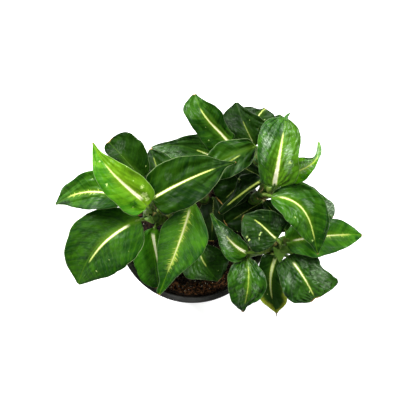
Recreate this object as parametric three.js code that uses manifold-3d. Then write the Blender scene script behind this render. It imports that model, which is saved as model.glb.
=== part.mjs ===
// A potted dieffenbachia: a black nursery pot filled with potting soil, five canes standing in the
// soil, and the leaves that each cane carries. Every leaf is one solid, its stalk and its blade
// together. Millimetres, +Z up, origin at the centre of the pot's underside.
import * as THREE from 'three';
import { mergeVertices } from 'three/addons/utils/BufferGeometryUtils.js';
import Module from 'manifold-3d';

const wasm = await Module();
wasm.setup();

// ---- driving dimensions, mm and degrees ----

const GAP = 0.3; // left between pieces that touch

const POT = {
  height: 125,
  rimRadius: 75,
  rimWidth: 5.5,
  rimDepth: 11,
  wall: 1.6,
  floor: 2.4,
  footRadius: 52,
  segments: 48,
  drainHoles: 8,
  drainRadius: 4,
  drainCircle: 38,
};

const SOIL = { top: 111, rise: 2.5, lumps: 1.2, holeDepth: 22 };

const CANE = { radius: 5.5, sides: 10, steps: 8 };
const STALK = { radius: 1.9, sides: 6, steps: 5 };
const BLADE = { thickness: 0.8, keel: 0.9, rows: 12, columns: 4, endHalfWidth: 0.6 };

// Each cane runs from its foot in the soil to its crown. It stands nearly upright below and leans
// over the rim above: at half its height it heads for a point this share of the way out.
const CANES = {
  left: { foot: [-20, 9], crown: [-43, 5, 176], share: 0.4 },
  middle: { foot: [12, 12], crown: [11, 30, 146], share: 0.4 },
  back: { foot: [30, 34], crown: [66, 62, 164], share: 0.15 },
  right: { foot: [38, 16], crown: [72, 29, 168], share: 0.25 },
  front: { foot: [38, -26], crown: [87, -21, 154], share: 0.15 },
};

// Each leaf: from is the height of its joint on the cane, base and tip are the two ends of the
// blade's midrib, arch and bow bend the midrib up and to the left, early moves that bend towards the
// base. left and right are the half widths at seven stations from base to tip. fold lifts both
// halves, curl bends them further, and roll tips the whole blade left side up.
const DEFAULTS = { arch: 4, bow: 0, early: 0, fold: 12, curl: 0, roll: 0, wave: 0.8, waves: 3 };

const LEAVES = {
  left: [
    { from: 176, base: [-41, 8, 204], tip: [-91, 64, 224], left: [13, 18, 18, 18, 14, 6, 1],
      right: [12, 16, 17, 14, 9, 3, 1], arch: 9, bow: 5, early: -0.5, fold: 18, curl: -10,
      shade: 'young' },
    { from: 156, base: [-58, 16, 187], tip: [-133, 18, 156], left: [6, 13, 17, 17, 12, 5, 1],
      right: [11, 17, 21, 18, 13, 10, 3], arch: 13, bow: -8, early: 0.2, fold: 10, shade: 'green' },
    { from: 148, base: [-49, 0, 176], tip: [-111, -58, 142], left: [21, 30, 33, 32, 26, 14, 5],
      right: [10, 19, 27, 31, 27, 19, 5], arch: 13, bow: -10, early: 0.2, fold: 6, curl: -10,
      shade: 'green' },
    { from: 152, base: [-47, 37, 188], tip: [-79, 72, 194], left: [4, 7, 8, 9, 9, 9, 6],
      right: [9, 14, 19, 22, 21, 19, 12], shade: 'dark' },
    { from: 164, base: [-37, 17, 193], tip: [42, 53, 190], left: [17, 23, 24, 21, 14, 5, 1],
      right: [18, 22, 24, 22, 14, 3, 1], arch: 11, bow: 1, fold: 8, shade: 'green' },
    { from: 126, base: [-37, -4, 146], tip: [-33, -61, 133], left: [5, 10, 15, 16, 13, 8, 3],
      right: [7, 12, 18, 20, 18, 14, 6], arch: 3, bow: -2, early: 0.6, shade: 'dark' },
    { from: 144, base: [-28, 33, 165], tip: [-40, 70, 172], left: [3, 10, 16, 16, 12, 6, 2],
      right: [4, 12, 17, 18, 14, 8, 2], fold: 10, shade: 'dark' },
    { from: 120, base: [-6, 38, 150], tip: [-7, 73, 158], left: [3, 10, 14, 15, 15, 12, 6],
      right: [3, 8, 11, 13, 13, 10, 6], fold: 8, shade: 'dark' },
  ],
  middle: [
    { from: 146, base: [0, 18, 174], tip: [-32, -69, 146], left: [6, 16, 26, 22, 12, 6, 2],
      right: [5, 12, 20, 18, 12, 4, 3], arch: 8, bow: 2, early: 0.8, shade: 'green' },
    { from: 124, base: [4, -20, 142], tip: [26, -54, 131], left: [7, 14, 19, 22, 22, 16, 7],
      right: [5, 14, 22, 22, 11, 4, 1], bow: -3, fold: 10, shade: 'dark' },
    { from: 126, base: [21, 29, 134], tip: [19, -14, 129], left: [4, 10, 13, 14, 13, 9, 4],
      right: [6, 10, 13, 14, 12, 9, 6], arch: 3, shade: 'dark' },
  ],
  back: [
    { from: 156, base: [36, 75, 174], tip: [3, 118, 196], left: [14, 19, 19, 17, 16, 15, 5],
      right: [8, 8, 10, 14, 13, 7, 2], arch: 8, bow: 5, early: -0.9, fold: 10, shade: 'green' },
    { from: 150, base: [61, 75, 164], tip: [43, 117, 169], left: [8, 12, 16, 19, 19, 13, 4],
      right: [14, 20, 20, 16, 10, 5, 2], arch: 6, bow: 2, fold: 10, shade: 'dark' },
    { from: 144, base: [57, 86, 158], tip: [72, 114, 157], left: [4, 11, 16, 19, 12, 3, 1],
      right: [3, 10, 14, 17, 17, 15, 7], arch: 8, bow: 2, fold: 10, shade: 'dark' },
    { from: 130, base: [21, 65, 158], tip: [-40, 72, 166], left: [12, 19, 23, 24, 21, 15, 5],
      right: [6, 13, 15, 10, 4, 2, 1], arch: 5, bow: -5, early: -0.3, fold: 10, shade: 'dark' },
    { from: 160, base: [60, 69, 186], tip: [13, 44, 180], left: [6, 13, 17, 18, 17, 13, 5],
      right: [7, 10, 13, 16, 14, 9, 4], arch: 5, bow: -2, fold: 8, shade: 'green' },
    { from: 120, base: [53, 43, 153], tip: [28, 21, 148], left: [3, 11, 15, 15, 13, 10, 3],
      right: [10, 14, 18, 18, 18, 15, 8], fold: 10, shade: 'dark' },
    { from: 124, base: [75, 78, 148], tip: [88, 114, 134], left: [9, 12, 14, 14, 11, 4, 1],
      right: [3, 9, 13, 14, 11, 8, 2], shade: 'dark' },
  ],
  right: [
    { from: 168, base: [78, 29, 192], tip: [88, 90, 212], left: [12, 15, 18, 21, 22, 20, 13],
      right: [8, 18, 20, 17, 17, 14, 6], arch: 10, fold: 8, shade: 'green' },
    { from: 160, base: [76, 21, 183], tip: [120, -33, 172], left: [7, 15, 20, 20, 16, 9, 2],
      right: [10, 16, 19, 18, 13, 5, 1], arch: 11, bow: 13, early: 0.5, shade: 'green' },
    { from: 152, base: [91, 37, 192], tip: [119, 69, 206], left: [3, 8, 12, 9, 3, 2, 1],
      right: [8, 10, 10, 6, 2, 2, 1], arch: 3, bow: -8, early: -0.9, shade: 'young' },
    { from: 144, base: [90, 22, 174], tip: [136, 4, 167], left: [12, 18, 18, 16, 13, 12, 7],
      right: [3, 9, 10, 11, 10, 6, 2], fold: 10, shade: 'green' },
    { from: 150, base: [67, 38, 178], tip: [26, 9, 160], left: [2, 3, 3, 4, 5, 4, 3],
      right: [9, 13, 16, 8, 4, 3, 2], arch: 3, bow: -1, fold: -20, shade: 'dark' },
    { from: 122, base: [68, 22, 146], tip: [33, 1, 140], left: [7, 16, 20, 18, 15, 12, 3],
      right: [5, 12, 16, 17, 16, 12, 6], arch: 3, shade: 'dark' },
    { from: 158, base: [65, 44, 167], tip: [42, 58, 159], left: [5, 10, 12, 13, 11, 8, 3],
      right: [3, 6, 7, 8, 6, 4, 2], arch: 2, fold: 5, shade: 'dark' },
  ],
  front: [
    { from: 152, base: [81, -19, 176], tip: [49, 3, 181], left: [11, 21, 25, 23, 21, 18, 9],
      right: [19, 20, 19, 17, 12, 5, 1], arch: 3, bow: -2, early: -0.9, shade: 'dark' },
    { from: 146, base: [53, -30, 160], tip: [18, 10, 152], left: [10, 15, 13, 8, 5, 3, 1],
      right: [6, 8, 9, 7, 4, 1, 1], bow: 4, early: 0.8, shade: 'green' },
    { from: 140, base: [53, -35, 157], tip: [49, -85, 140], left: [5, 10, 16, 17, 11, 3, 1],
      right: [9, 17, 20, 19, 16, 10, 2], arch: 9, bow: 3, early: 0.3, shade: 'green' },
    { from: 132, base: [82, -31, 144], tip: [83, -85, 122], left: [7, 10, 12, 14, 15, 12, 3],
      right: [11, 13, 13, 13, 11, 5, 1], arch: 3, bow: -6, early: 0.2, shade: 'dark' },
    { from: 138, base: [93, -32, 150], tip: [120, -72, 138], left: [8, 13, 21, 20, 24, 27, 21],
      right: [14, 19, 22, 25, 24, 17, 8], arch: 6, bow: 1, early: 0.3, shade: 'dark' },
    { from: 144, base: [91, -19, 158], tip: [166, -10, 144], left: [10, 16, 18, 17, 14, 8, 2],
      right: [10, 15, 20, 18, 14, 8, 3], arch: 9, bow: 1, shade: 'green' },
    { from: 120, base: [92, -6, 143], tip: [71, 26, 134], left: [5, 10, 12, 13, 12, 9, 4],
      right: [6, 9, 11, 12, 10, 7, 3], arch: 3, shade: 'dark' },
  ],
};

// ---- finishes ----

const finish = (color, roughness) =>
  new THREE.MeshStandardMaterial({ color, roughness, metalness: 0 });

const FINISH = {
  pot: () => finish(0x2b2b2a, 0.5),
  soil: () => finish(0x33241a, 0.95),
  cane: () => finish(0x7d9350, 0.6),
  young: () => finish(0x74b02c, 0.42),
  green: () => finish(0x44762a, 0.4),
  dark: () => finish(0x2c5222, 0.38),
};

// ---- solids: three.js shapes in and out of the boolean library ----

function toSolid(geometry) {
  const bare = geometry.index ? geometry.toNonIndexed() : geometry.clone();
  bare.deleteAttribute('normal');
  bare.deleteAttribute('uv');
  const merged = mergeVertices(bare, 1e-4);
  return new wasm.Manifold(new wasm.Mesh({
    numProp: 3,
    vertProperties: new Float32Array(merged.attributes.position.array),
    triVerts: new Uint32Array(merged.index.array),
  }));
}

function toGeometry(solid) {
  const { vertProperties, triVerts } = solid.getMesh();
  const geometry = new THREE.BufferGeometry();
  geometry.setAttribute('position', new THREE.BufferAttribute(vertProperties, 3));
  geometry.setIndex(new THREE.BufferAttribute(triVerts, 1));
  geometry.computeVertexNormals();
  return geometry;
}

// A cut can leave crumbs: only the largest body is the piece.
function largest(solid) {
  const bodies = solid.decompose();
  return bodies.reduce((best, body) => (body.volume() > best.volume() ? body : best));
}

function polygon(radius, sides) {
  const corners = Array.from({ length: sides }, (_, i) => {
    const turn = (2 * Math.PI * i) / sides;
    return new THREE.Vector2(radius * Math.cos(turn), radius * Math.sin(turn));
  });
  return new THREE.Shape(corners);
}

function tube(path, radius, sides, steps) {
  const options = { extrudePath: path, steps, bevelEnabled: false };
  return toSolid(new THREE.ExtrudeGeometry(polygon(radius, sides), options));
}

function revolve(profile, segments) {
  const points = profile.map(([r, z]) => new THREE.Vector2(r, z));
  return new THREE.LatheGeometry(points, segments).rotateX(Math.PI / 2);
}

// ---- pot: tapered wall, turned-down rim band, flat floor with drain holes ----

function potInnerRadius(z) {
  const bottom = POT.footRadius - POT.wall;
  const top = POT.rimRadius - POT.rimWidth;
  return THREE.MathUtils.lerp(bottom, top, z / POT.height);
}

function potSolid() {
  const { height, rimRadius, rimDepth, wall, floor, footRadius } = POT;
  const underRim = potInnerRadius(height - rimDepth) + wall;
  const profile = [
    [0, 0], [footRadius - 1.5, 0], [footRadius, 1.5],
    [underRim, height - rimDepth], [rimRadius - 0.8, height - rimDepth],
    [rimRadius, height - 1.2], [rimRadius - 1.2, height],
    [potInnerRadius(height) + 1, height], [potInnerRadius(height - 1), height - 1],
    [potInnerRadius(floor), floor], [0, floor],
  ];
  let pot = toSolid(revolve(profile, POT.segments));
  for (let i = 0; i < POT.drainHoles; i += 1) {
    const turn = (2 * Math.PI * i) / POT.drainHoles;
    const drill = new THREE.CylinderGeometry(POT.drainRadius, POT.drainRadius, 3 * floor, 12);
    drill.rotateX(Math.PI / 2);
    drill.translate(POT.drainCircle * Math.cos(turn), POT.drainCircle * Math.sin(turn), floor);
    pot = pot.subtract(toSolid(drill));
  }
  return pot;
}

// ---- soil: fills the pot to below the rim, with a lumpy top and a plain hole for each cane ----

function soilSolid(canes) {
  const bottom = POT.floor + GAP;
  const edge = (z) => potInnerRadius(z) - GAP;
  const rings = [0.9, 0.7, 0.5, 0.25];
  const top = rings.map((f) => [f * edge(SOIL.top), SOIL.top + SOIL.rise * (1 - f)]);
  const profile = [
    [0, bottom], [edge(bottom), bottom], [edge(SOIL.top - 1), SOIL.top - 1], ...top,
    [0, SOIL.top + SOIL.rise],
  ];
  const body = revolve(profile, 32);
  const place = body.attributes.position;
  for (let i = 0; i < place.count; i += 1) {
    const [x, y, z] = [place.getX(i), place.getY(i), place.getZ(i)];
    const lump = SOIL.lumps * Math.sin(0.31 * x + 0.13 * y) * Math.cos(0.27 * y - 0.09 * x);
    if (z > SOIL.top - 0.5) place.setZ(i, z + lump);
  }
  return canes.reduce((soil, cane) => soil.subtract(cane.hole), toSolid(body));
}

// ---- canes ----

function canePath({ foot, crown, share }) {
  const start = new THREE.Vector3(foot[0], foot[1], SOIL.top - SOIL.holeDepth);
  const end = new THREE.Vector3(...crown);
  const middle = start.clone().lerp(end, share);
  middle.z = (start.z + end.z) / 2;
  return new THREE.QuadraticBezierCurve3(start, middle, end);
}

// The same cane, a gap larger all over: what is cut from the soil and from the stalks on it.
function aroundPath(path) {
  const start = path.v0.clone().addScaledVector(path.getTangent(0), -GAP);
  const end = path.v2.clone().addScaledVector(path.getTangent(1), GAP);
  return new THREE.QuadraticBezierCurve3(start, path.v1, end);
}

function cane(spec) {
  const path = canePath(spec);
  const hole = tube(aroundPath(path), CANE.radius + GAP, CANE.sides, CANE.steps);
  return { path, hole, solid: tube(path, CANE.radius, CANE.sides, CANE.steps) };
}

function pointAtHeight(path, height) {
  let [low, high] = [0, 1];
  for (let i = 0; i < 30; i += 1) {
    const t = (low + high) / 2;
    if (path.getPoint(t).z < height) low = t;
    else high = t;
  }
  return { point: path.getPoint(low), tangent: path.getTangent(low) };
}

// ---- leaves ----

const radians = THREE.MathUtils.degToRad;

// The midrib: the straight line from base to tip, bent up by arch and sideways by bow.
function midrib(leaf) {
  const base = new THREE.Vector3(...leaf.base);
  const chord = new THREE.Vector3(...leaf.tip).sub(base);
  const left = new THREE.Vector3(0, 0, 1).cross(chord).normalize();
  const up = chord.clone().cross(left).normalize();
  const point = (u) => {
    const bend = 4 * u * (1 - u) * (1 + leaf.early * (1 - 2 * u));
    return base.clone().addScaledVector(chord, u)
      .addScaledVector(up, bend * leaf.arch).addScaledVector(left, bend * leaf.bow);
  };
  const tangent = (u) => point(u + 0.001).sub(point(u - 0.001)).normalize();
  return { point, tangent, left };
}

// The half width at u: a smooth curve through the stations, which lie at equal steps of the angle
// whose cosine is 1 - 2u, so that they are closest where the outline turns most.
function halfWidth(stations, u) {
  const widths = [0, ...stations, 0];
  const last = widths.length - 1;
  const w = (Math.acos(1 - 2 * u) / Math.PI) * last;
  const k = Math.min(Math.floor(w), last - 1);
  const t = w - k;
  const slope = (i) => (widths[Math.min(i + 1, last)] - widths[Math.max(i - 1, 0)])
    / (i === 0 || i === last ? 1 : 2);
  const value = widths[k] * (1 + 2 * t) * (1 - t) ** 2 + slope(k) * t * (1 - t) ** 2
    + widths[k + 1] * t * t * (3 - 2 * t) + slope(k + 1) * t * t * (t - 1);
  return Math.max(value, 0);
}

// A point of the blade's middle surface: u runs from base to tip, v from the right edge (-1) to the
// left edge (1). Each half is a circular arc that starts at the fold angle; its edge waves.
function bladePoint(leaf, rib, u, v) {
  const forward = rib.tangent(u);
  const left = rib.left.clone().addScaledVector(forward, -rib.left.dot(forward)).normalize();
  const up = forward.clone().cross(left);
  left.applyAxisAngle(forward, radians(leaf.roll));
  up.applyAxisAngle(forward, radians(leaf.roll));
  const side = Math.sign(v);
  const q = Math.abs(v);
  const half = halfWidth(side > 0 ? leaf.left : leaf.right, u) + BLADE.endHalfWidth;
  const fold = radians(leaf.fold);
  const curl = radians(leaf.curl) || 0.001;
  const across = (half * (Math.sin(fold + curl * q) - Math.sin(fold))) / curl;
  const lift = (half * (Math.cos(fold) - Math.cos(fold + curl * q))) / curl;
  const wave = leaf.wave * q * q * Math.sqrt(Math.sin(Math.PI * u))
    * Math.sin(2 * Math.PI * leaf.waves * u + 1.1 * side);
  return rib.point(u).addScaledVector(left, across * side).addScaledVector(up, lift + wave);
}

// The blade as one closed grid: upper and lower faces are split alike, so they never cross.
function bladeSolid(leaf, rib) {
  const { rows, columns, thickness, keel } = BLADE;
  const step = 0.004;
  const upper = [];
  const lower = [];
  for (let i = 0; i <= rows; i += 1) {
    const u = THREE.MathUtils.clamp((1 - Math.cos((Math.PI * i) / rows)) / 2, step, 1 - step);
    for (let j = 0; j <= columns; j += 1) {
      const v = (2 * j) / columns - 1;
      const here = bladePoint(leaf, rib, u, v);
      const along = bladePoint(leaf, rib, u + step / 2, v)
        .sub(bladePoint(leaf, rib, u - step / 2, v));
      const across = bladePoint(leaf, rib, u, v + 0.01).sub(bladePoint(leaf, rib, u, v - 0.01));
      const normal = along.cross(across).normalize();
      const below = thickness / 2 + (v === 0 ? keel * (1 - 0.7 * u) : 0);
      upper.push(here.clone().addScaledVector(normal, thickness / 2));
      lower.push(here.clone().addScaledVector(normal, -below));
    }
  }
  const at = (i, j) => i * (columns + 1) + j;
  const under = (k) => k + upper.length;
  const faces = [];
  const quad = (a, b, c, d) => faces.push(a, b, c, a, c, d);
  for (let i = 0; i < rows; i += 1) {
    for (let j = 0; j < columns; j += 1) {
      const [a, b, c, d] = [at(i, j), at(i + 1, j), at(i + 1, j + 1), at(i, j + 1)];
      quad(a, b, c, d);
      faces.push(under(a), under(c), under(b), under(a), under(d), under(c));
    }
    quad(under(at(i, 0)), under(at(i + 1, 0)), at(i + 1, 0), at(i, 0));
    quad(at(i, columns), at(i + 1, columns), under(at(i + 1, columns)), under(at(i, columns)));
  }
  for (let j = 0; j < columns; j += 1) {
    quad(at(0, j), at(0, j + 1), under(at(0, j + 1)), under(at(0, j)));
    quad(at(rows, j + 1), at(rows, j), under(at(rows, j)), under(at(rows, j + 1)));
  }
  const geometry = new THREE.BufferGeometry();
  geometry.setAttribute('position', new THREE.Float32BufferAttribute(
    [...upper, ...lower].flatMap((p) => p.toArray()), 3));
  geometry.setIndex(faces);
  return toSolid(geometry);
}

// The stalk leaves the cane at a slant and meets the blade along its midrib.
function stalkPath(leaf, rib, bearer) {
  const { point, tangent } = pointAtHeight(bearer.path, leaf.from);
  const end = rib.point(0.05);
  const reach = point.distanceTo(end);
  const outwards = end.clone().sub(point).normalize();
  const start = tangent.clone().multiplyScalar(0.5).add(outwards).normalize();
  return new THREE.CubicBezierCurve3(
    point,
    point.clone().addScaledVector(start, 0.35 * reach),
    end.clone().addScaledVector(rib.tangent(0), -0.35 * reach),
    end,
  );
}

function leavesOf(bearer, rows) {
  let taken = bearer.hole;
  return rows.map((row) => {
    const leaf = { ...DEFAULTS, ...row };
    const rib = midrib(leaf);
    const path = stalkPath(leaf, rib, bearer);
    const stalk = tube(path, STALK.radius, STALK.sides, STALK.steps);
    const solid = largest(stalk.add(bladeSolid(leaf, rib)).subtract(taken));
    taken = taken.add(tube(path, STALK.radius + GAP, STALK.sides, STALK.steps));
    return { solid, shade: leaf.shade };
  });
}

// ---- the plant ----

const plant = new THREE.Group();
plant.name = 'potted_dieffenbachia';

function addPiece(name, solid, material) {
  const mesh = new THREE.Mesh(toGeometry(solid), material);
  mesh.name = name;
  plant.add(mesh);
}

const canes = Object.fromEntries(Object.entries(CANES).map(([name, spec]) => [name, cane(spec)]));

addPiece('pot', potSolid(), FINISH.pot());
addPiece('soil', soilSolid(Object.values(canes)), FINISH.soil());
for (const [name, bearer] of Object.entries(canes)) {
  addPiece(`${name}_cane`, bearer.solid, FINISH.cane());
  leavesOf(bearer, LEAVES[name]).forEach(({ solid, shade }, index) => {
    addPiece(`${name}_leaf_${index + 1}`, solid, FINISH[shade]());
  });
}

export default plant;
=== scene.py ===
# %% [markdown]
# # A potted dieffenbachia
# The plant stands in a black nursery pot: five canes grow out of the soil, and each one carries
# its leaves in a spiral, the youngest on top. The fixed frame gives every piece its place. This
# script gives each piece its surface: thin waved blades with sunken veins, round stalks, crumbly
# soil and a pot turned from one profile.

# %% Load the fixed frame
from types import SimpleNamespace

import bmesh
import bpy
import numpy as np
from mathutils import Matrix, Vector


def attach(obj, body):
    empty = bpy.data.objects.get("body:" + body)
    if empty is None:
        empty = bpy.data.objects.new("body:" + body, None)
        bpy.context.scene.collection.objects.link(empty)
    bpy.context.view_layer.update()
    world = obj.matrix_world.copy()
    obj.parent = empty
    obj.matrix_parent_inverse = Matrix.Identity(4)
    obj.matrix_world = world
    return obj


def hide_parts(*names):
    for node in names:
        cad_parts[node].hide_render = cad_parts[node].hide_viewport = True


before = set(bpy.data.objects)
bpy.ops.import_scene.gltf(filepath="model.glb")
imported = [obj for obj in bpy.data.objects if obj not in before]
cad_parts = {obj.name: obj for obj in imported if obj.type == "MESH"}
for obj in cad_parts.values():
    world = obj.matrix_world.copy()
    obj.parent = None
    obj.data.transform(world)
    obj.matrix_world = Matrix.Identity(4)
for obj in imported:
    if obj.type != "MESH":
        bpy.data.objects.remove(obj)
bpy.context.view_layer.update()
print("frame:", len(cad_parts), "solids")

# %% [markdown]
# ## Measures
# The frame works in metres, but a plant this size is easier to read in millimetres, so the
# tables below are in millimetres and each grid is scaled once, when it becomes a mesh. Each cane
# has a foot in the soil and a crown. `share` says how upright it stands: at half its height it
# still heads for a point only this share of the way out.

# %% Canes and pot
MM = 0.001
POT = dict(height=125, rim_radius=75, rim_width=5.5, rim_depth=11, wall=1.6, floor=2.4,
           foot_radius=52, drain_holes=8, drain_radius=4, drain_circle=38)
SOIL = dict(top=111, rise=2.5, lumps=1.2, hole_depth=22)
CANE_RADIUS, CANE_SIDES = 5.5, 32
STALK_RADIUS, STALK_SIDES = 1.9, 16

CANES = {
    "left": dict(foot=(-20, 9), crown=(-43, 5, 176), share=0.4),
    "middle": dict(foot=(12, 12), crown=(11, 30, 146), share=0.4),
    "back": dict(foot=(30, 34), crown=(66, 62, 164), share=0.15),
    "right": dict(foot=(38, 16), crown=(72, 29, 168), share=0.25),
    "front": dict(foot=(38, -26), crown=(87, -21, 154), share=0.15),
}

# %% [markdown]
# ## One row for each leaf
# A row starts with five things. `start` is the height of the leaf's joint on its cane. `base` and
# `tip` are the ends of the blade's midrib. `left` and `right` are the half widths at seven
# stations from base to tip. Then come the leaf's own habits: `arch` and `bow` bend the midrib up
# and to the left, and `early` moves that bend towards the base. `fold` lifts both halves and
# `curl` bends them on. `shade` names the leaf's family of greens. Where a row is silent, the
# values of SHAPE hold, which fit the dark old leaves low down.

# %% Leaf shapes
SHAPE = dict(arch=4, bow=0, early=0, fold=12, curl=0, shade="dark")


def leaf_row(start, base, tip, left, right, **shape):
    """One leaf: what every leaf has to say, then where its shape differs from SHAPE."""
    return dict(SHAPE, start=start, base=base, tip=tip, left=left, right=right, **shape)


LEAVES = {
    "left": [
        leaf_row(176, (-41, 8, 204), (-91, 64, 224), (13, 18, 18, 18, 14, 6, 1),
                 (12, 16, 17, 14, 9, 3, 1), arch=9, bow=5, early=-0.5, fold=18, curl=-10,
                 shade="young"),
        leaf_row(156, (-58, 16, 187), (-133, 18, 156), (6, 13, 17, 17, 12, 5, 1),
                 (11, 17, 21, 18, 13, 10, 3), arch=13, bow=-8, early=0.2, fold=10, shade="green"),
        leaf_row(148, (-49, 0, 176), (-111, -58, 142), (21, 30, 33, 32, 26, 14, 5),
                 (10, 19, 27, 31, 27, 19, 5), arch=13, bow=-10, early=0.2, fold=6, curl=-10,
                 shade="green"),
        leaf_row(152, (-47, 37, 188), (-79, 72, 194), (4, 7, 8, 9, 9, 9, 6),
                 (9, 14, 19, 22, 21, 19, 12)),
        leaf_row(164, (-37, 17, 193), (42, 53, 190), (17, 23, 24, 21, 14, 5, 1),
                 (18, 22, 24, 22, 14, 3, 1), arch=11, bow=1, fold=8, shade="green"),
        leaf_row(126, (-37, -4, 146), (-33, -61, 133), (5, 10, 15, 16, 13, 8, 3),
                 (7, 12, 18, 20, 18, 14, 6), arch=3, bow=-2, early=0.6),
        leaf_row(144, (-28, 33, 165), (-40, 70, 172), (3, 10, 16, 16, 12, 6, 2),
                 (4, 12, 17, 18, 14, 8, 2), fold=10),
        leaf_row(120, (-6, 38, 150), (-7, 73, 158), (3, 10, 14, 15, 15, 12, 6),
                 (3, 8, 11, 13, 13, 10, 6), fold=8),
    ],
    "middle": [
        leaf_row(146, (0, 18, 174), (-32, -69, 146), (6, 16, 26, 22, 12, 6, 2),
                 (5, 12, 20, 18, 12, 4, 3), arch=8, bow=2, early=0.8, shade="green"),
        leaf_row(124, (4, -20, 142), (26, -54, 131), (7, 14, 19, 22, 22, 16, 7),
                 (5, 14, 22, 22, 11, 4, 1), bow=-3, fold=10),
        leaf_row(126, (21, 29, 134), (19, -14, 129), (4, 10, 13, 14, 13, 9, 4),
                 (6, 10, 13, 14, 12, 9, 6), arch=3),
    ],
    "back": [
        leaf_row(156, (36, 75, 174), (3, 118, 196), (14, 19, 19, 17, 16, 15, 5),
                 (8, 8, 10, 14, 13, 7, 2), arch=8, bow=5, early=-0.9, fold=10, shade="green"),
        leaf_row(150, (61, 75, 164), (43, 117, 169), (8, 12, 16, 19, 19, 13, 4),
                 (14, 20, 20, 16, 10, 5, 2), arch=6, bow=2, fold=10),
        leaf_row(144, (57, 86, 158), (72, 114, 157), (4, 11, 16, 19, 12, 3, 1),
                 (3, 10, 14, 17, 17, 15, 7), arch=8, bow=2, fold=10),
        leaf_row(130, (21, 65, 158), (-40, 72, 166), (12, 19, 23, 24, 21, 15, 5),
                 (6, 13, 15, 10, 4, 2, 1), arch=5, bow=-5, early=-0.3, fold=10),
        leaf_row(160, (60, 69, 186), (13, 44, 180), (6, 13, 17, 18, 17, 13, 5),
                 (7, 10, 13, 16, 14, 9, 4), arch=5, bow=-2, fold=8, shade="green"),
        leaf_row(120, (53, 43, 153), (28, 21, 148), (3, 11, 15, 15, 13, 10, 3),
                 (10, 14, 18, 18, 18, 15, 8), fold=10),
        leaf_row(124, (75, 78, 148), (88, 114, 134), (9, 12, 14, 14, 11, 4, 1),
                 (3, 9, 13, 14, 11, 8, 2)),
    ],
    "right": [
        leaf_row(168, (78, 29, 192), (88, 90, 212), (12, 15, 18, 21, 22, 20, 13),
                 (8, 18, 20, 17, 17, 14, 6), arch=10, fold=8, shade="green"),
        leaf_row(160, (76, 21, 183), (120, -33, 172), (7, 15, 20, 20, 16, 9, 2),
                 (10, 16, 19, 18, 13, 5, 1), arch=11, bow=13, early=0.5, shade="green"),
        leaf_row(152, (91, 37, 192), (119, 69, 206), (3, 8, 12, 9, 3, 2, 1), (8, 10, 10, 6, 2, 2, 1),
                 arch=3, bow=-8, early=-0.9, shade="young"),
        leaf_row(144, (90, 22, 174), (136, 4, 167), (12, 18, 18, 16, 13, 12, 7),
                 (3, 9, 10, 11, 10, 6, 2), fold=10, shade="green"),
        leaf_row(150, (67, 38, 178), (26, 9, 160), (2, 3, 3, 4, 5, 4, 3), (9, 13, 16, 8, 4, 3, 2),
                 arch=3, bow=-1, fold=-20),
        leaf_row(122, (68, 22, 146), (33, 1, 140), (7, 16, 20, 18, 15, 12, 3),
                 (5, 12, 16, 17, 16, 12, 6), arch=3),
        leaf_row(158, (65, 44, 167), (42, 58, 159), (5, 10, 12, 13, 11, 8, 3), (3, 6, 7, 8, 6, 4, 2),
                 arch=2, fold=5),
    ],
    "front": [
        leaf_row(152, (81, -19, 176), (49, 3, 181), (11, 21, 25, 23, 21, 18, 9),
                 (19, 20, 19, 17, 12, 5, 1), arch=3, bow=-2, early=-0.9),
        leaf_row(146, (53, -30, 160), (18, 10, 152), (10, 15, 13, 8, 5, 3, 1), (6, 8, 9, 7, 4, 1, 1),
                 bow=4, early=0.8, shade="green"),
        leaf_row(140, (53, -35, 157), (49, -85, 140), (5, 10, 16, 17, 11, 3, 1),
                 (9, 17, 20, 19, 16, 10, 2), arch=9, bow=3, early=0.3, shade="green"),
        leaf_row(132, (82, -31, 144), (83, -85, 122), (7, 10, 12, 14, 15, 12, 3),
                 (11, 13, 13, 13, 11, 5, 1), arch=3, bow=-6, early=0.2),
        leaf_row(138, (93, -32, 150), (120, -72, 138), (8, 13, 21, 20, 24, 27, 21),
                 (14, 19, 22, 25, 24, 17, 8), arch=6, bow=1, early=0.3),
        leaf_row(144, (91, -19, 158), (166, -10, 144), (10, 16, 18, 17, 14, 8, 2),
                 (10, 15, 20, 18, 14, 8, 3), arch=9, bow=1, shade="green"),
        leaf_row(120, (92, -6, 143), (71, 26, 134), (5, 10, 12, 13, 12, 9, 4), (6, 9, 11, 12, 10, 7, 3),
                 arch=3),
    ],
}
print("leaves on each cane:", {cane: len(rows) for cane, rows in LEAVES.items()})

# %% [markdown]
# ## From a grid of points to a mesh
# Every surface here is a grid: one row of points after another. Neighbouring points make a quad,
# and a grid that goes round joins its last column to its first. Building the index table with
# numpy keeps thousands of faces to one line, where a loop in Python would crawl.

# %% Grid helpers
def grid_faces(rows, columns, around=False):
    """Quads between neighbouring points of a grid, counted row by row; around also joins the last
    column to the first."""
    i = np.arange(rows - 1)[:, None]
    j = np.arange(columns if around else columns - 1)[None, :]
    k = (j + 1) % columns
    quads = np.stack([i * columns + j, i * columns + k, (i + 1) * columns + k,
                      (i + 1) * columns + j], axis=-1)
    return quads.reshape(-1, 4)


def tube_faces(rows, columns):
    """Quads all round a tube, and its first and last ring, each as one many-sided face that
    closes it."""
    first = np.arange(columns)
    last = (rows - 1) * columns + first
    return [*grid_faces(rows, columns, around=True).tolist(), first[::-1].tolist(), last.tolist()]


def unit(vectors):
    """Each vector divided by its own length."""
    return vectors / np.linalg.norm(vectors, axis=-1, keepdims=True)


print("faces of a tube with 3 rings of 4 points:", len(tube_faces(3, 4)))

# %% [markdown]
# ## Tubes along a path
# Canes, stalks and the sheaths round a crown are tubes, wide and flat or round. Each ring of a
# tube stands square to its path, and needs two directions of its own: one is a fixed side
# direction made square to the path, the other is the cross product. None of these paths doubles
# back, so a fixed side direction never spins. A curve object with a bevel would also give a tube,
# but not one that is wider than it is high.

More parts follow.
